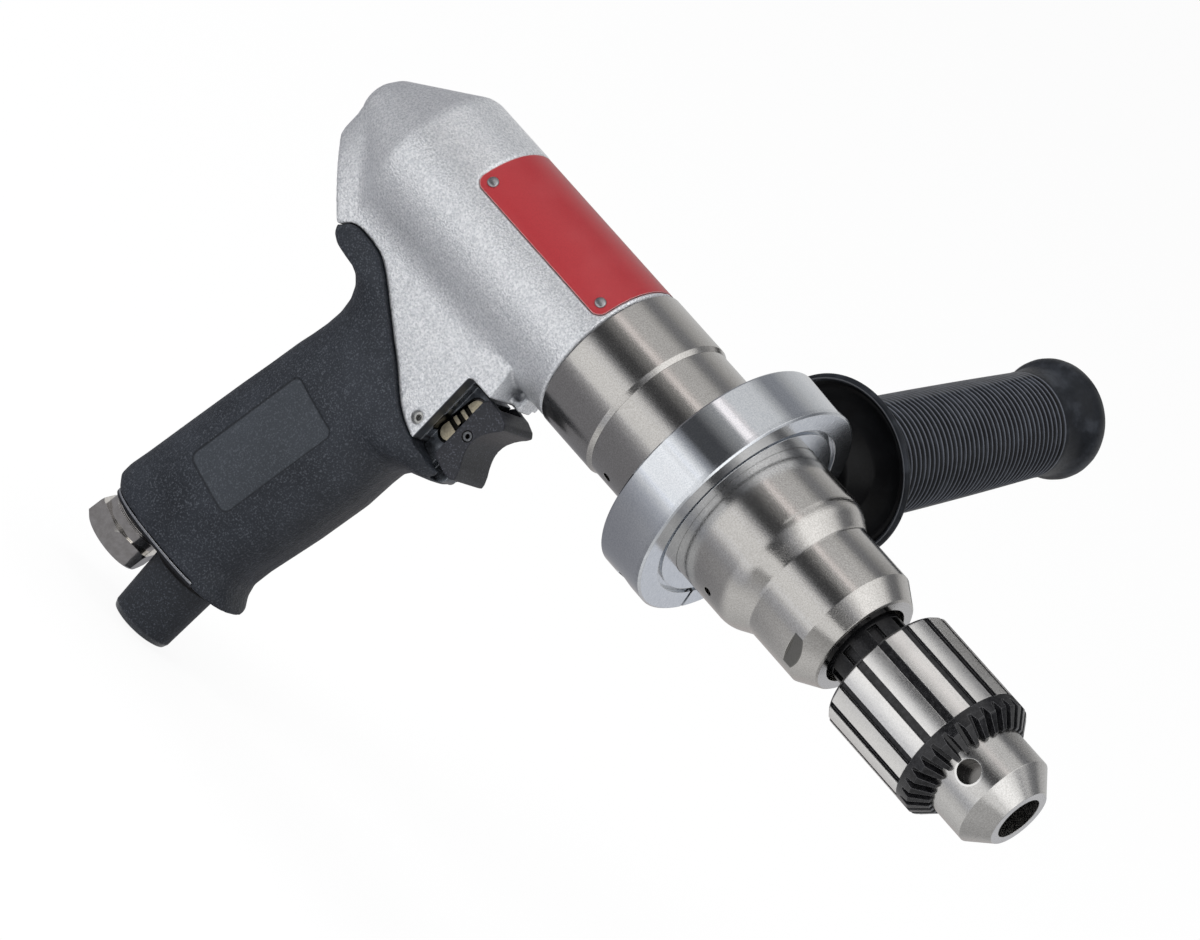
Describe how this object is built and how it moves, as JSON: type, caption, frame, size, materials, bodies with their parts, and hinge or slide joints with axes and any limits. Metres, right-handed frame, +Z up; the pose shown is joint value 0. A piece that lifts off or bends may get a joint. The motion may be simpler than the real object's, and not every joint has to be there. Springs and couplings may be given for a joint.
{
  "type": "air drill",
  "caption": "Pistol-grip air drill with a keyed chuck, rubber grip, planetary gear cases and a side handle on a clamp ring.",
  "frame": {"origin": "centre of the chuck's front opening", "axes": "+X forward out of the chuck along the spindle, +Z up, +Y to the left as seen from behind the tool"},
  "size_m": [0.2633, 0.174, 0.2072],
  "materials": {
    "cast_silver": "blasted casting",
    "grip_rubber": "fine pebble",
    "handle_rubber": "ribbed",
    "plate_red": "gloss",
    "bare_aluminium": "machined",
    "case_steel": "turned satin",
    "hard_steel": "ground",
    "chuck_steel": "ground bright",
    "black_oxide": "black oxide",
    "block_metal": "anodised satin",
    "brass": "dull",
    "nickel": "nickel plate",
    "cast_iron": "machined",
    "black_plastic": "moulded",
    "vane_fibre": "laminate",
    "felt": "felt",
    "seal_rubber": "moulded"
  },
  "bodies": {
    "tool_body": {"pistol_housing": "cast_silver", "grip_sleeve": "grip_rubber", "base_plate": "bare_aluminium", "label_plate": "plate_red", "label_rivets": "bare_aluminium", "block_set_screw": "hard_steel", "motor_cylinder": "cast_iron", "rear_end_plate": "cast_iron", "front_end_plate": "cast_iron", "rear_rotor_bearing": "hard_steel", "front_rotor_bearing": "hard_steel", "rear_gear_case": "case_steel", "ring_gear": "hard_steel", "front_gear_case": "case_steel", "nose_housing": "case_steel", "rear_spindle_bearing": "hard_steel", "front_spindle_bearing": "hard_steel", "bearing_spacer": "bare_aluminium", "spindle_seal": "seal_rubber", "throttle_block": "block_metal", "valve_seat": "brass", "valve_spring": "hard_steel", "valve_plug": "brass", "inlet_bushing": "nickel", "inlet_screen": "hard_steel", "muffler": "black_plastic", "muffler_felt": "felt"},
    "spindle_group": {"spindle": "hard_steel", "planet_pins": "hard_steel", "spindle_collar": "black_oxide", "chuck_body": "chuck_steel"},
    "rotor_group": {"rotor": "hard_steel", "rotor_vanes": "vane_fibre", "sun_pinion": "hard_steel"},
    "planet_1": {"planet_gear_1": "hard_steel"},
    "planet_2": {"planet_gear_2": "hard_steel"},
    "planet_3": {"planet_gear_3": "hard_steel"},
    "sleeve_group": {"chuck_sleeve": "chuck_steel", "chuck_nut": "hard_steel"},
    "jaw_1": {"chuck_jaw_1": "hard_steel"},
    "jaw_2": {"chuck_jaw_2": "hard_steel"},
    "jaw_3": {"chuck_jaw_3": "hard_steel"},
    "trigger_group": {"trigger": "black_plastic", "trigger_pin": "hard_steel", "valve_stem": "brass"},
    "reverse_group": {"reverse_bar": "brass"},
    "side_handle": {"clamp_ring": "bare_aluminium", "clamp_screw": "black_oxide", "handle_stud": "hard_steel", "handle_grip": "handle_rubber", "handle_insert": "black_plastic"}
  },
  "joints": [
    {"name": "spindle_spin", "type": "hinge", "parent": "tool_body", "child": "spindle_group", "pos_m": [-0.1, 0, 0], "axis": [1, 0, 0], "continuous": true},
    {"name": "rotor_spin", "type": "hinge", "parent": "tool_body", "child": "rotor_group", "pos_m": [-0.2079, 0, 0], "axis": [1, 0, 0], "continuous": true},
    {"name": "planet_1_spin", "type": "hinge", "parent": "spindle_group", "child": "planet_1", "pos_m": [-0.1553, 0.0096, 0], "axis": [1, 0, 0], "continuous": true},
    {"name": "planet_2_spin", "type": "hinge", "parent": "spindle_group", "child": "planet_2", "pos_m": [-0.1553, -0.0048, 0.00831], "axis": [1, 0, 0], "continuous": true},
    {"name": "planet_3_spin", "type": "hinge", "parent": "spindle_group", "child": "planet_3", "pos_m": [-0.1553, -0.0048, -0.00831], "axis": [1, 0, 0], "continuous": true},
    {"name": "sleeve_turn", "type": "hinge", "parent": "spindle_group", "child": "sleeve_group", "pos_m": [-0.026, 0, 0], "axis": [-1, 0, 0], "range_deg": [0, 5400]},
    {"name": "jaw_1_slide", "type": "slide", "parent": "spindle_group", "child": "jaw_1", "axis": [0.9659, 0.1521, 0.2094], "range_m": [0, 0.019]},
    {"name": "jaw_2_slide", "type": "slide", "parent": "spindle_group", "child": "jaw_2", "axis": [0.9659, -0.2574, 0.0271], "range_m": [0, 0.019]},
    {"name": "jaw_3_slide", "type": "slide", "parent": "spindle_group", "child": "jaw_3", "axis": [0.9659, 0.1053, -0.2364], "range_m": [0, 0.019]},
    {"name": "trigger_pull", "type": "slide", "parent": "tool_body", "child": "trigger_group", "axis": [-1, 0, 0], "range_m": [0, 0.0035], "stiffness_N_per_m": 1200, "springref_m": -0.003, "deforming": ["valve_spring"]},
    {"name": "reverse_push", "type": "slide", "parent": "tool_body", "child": "reverse_group", "axis": [0, 1, 0], "range_m": [0, 0.002]},
    {"name": "handle_swivel", "type": "hinge", "parent": "tool_body", "child": "side_handle", "pos_m": [-0.116, 0, 0], "axis": [1, 0, 0], "continuous": true}
  ],
  "couplings": [
    {"joint": "rotor_spin", "follows": "spindle_spin", "ratio": 5.3333},
    {"joint": "planet_1_spin", "follows": "spindle_spin", "ratio": -2.6},
    {"joint": "planet_2_spin", "follows": "spindle_spin", "ratio": -2.6},
    {"joint": "planet_3_spin", "follows": "spindle_spin", "ratio": -2.6},
    {"joint": "jaw_1_slide", "follows": "sleeve_turn", "m_per_rad": 0.0002015},
    {"joint": "jaw_2_slide", "follows": "sleeve_turn", "m_per_rad": 0.0002015},
    {"joint": "jaw_3_slide", "follows": "sleeve_turn", "m_per_rad": 0.0002015}
  ]
}
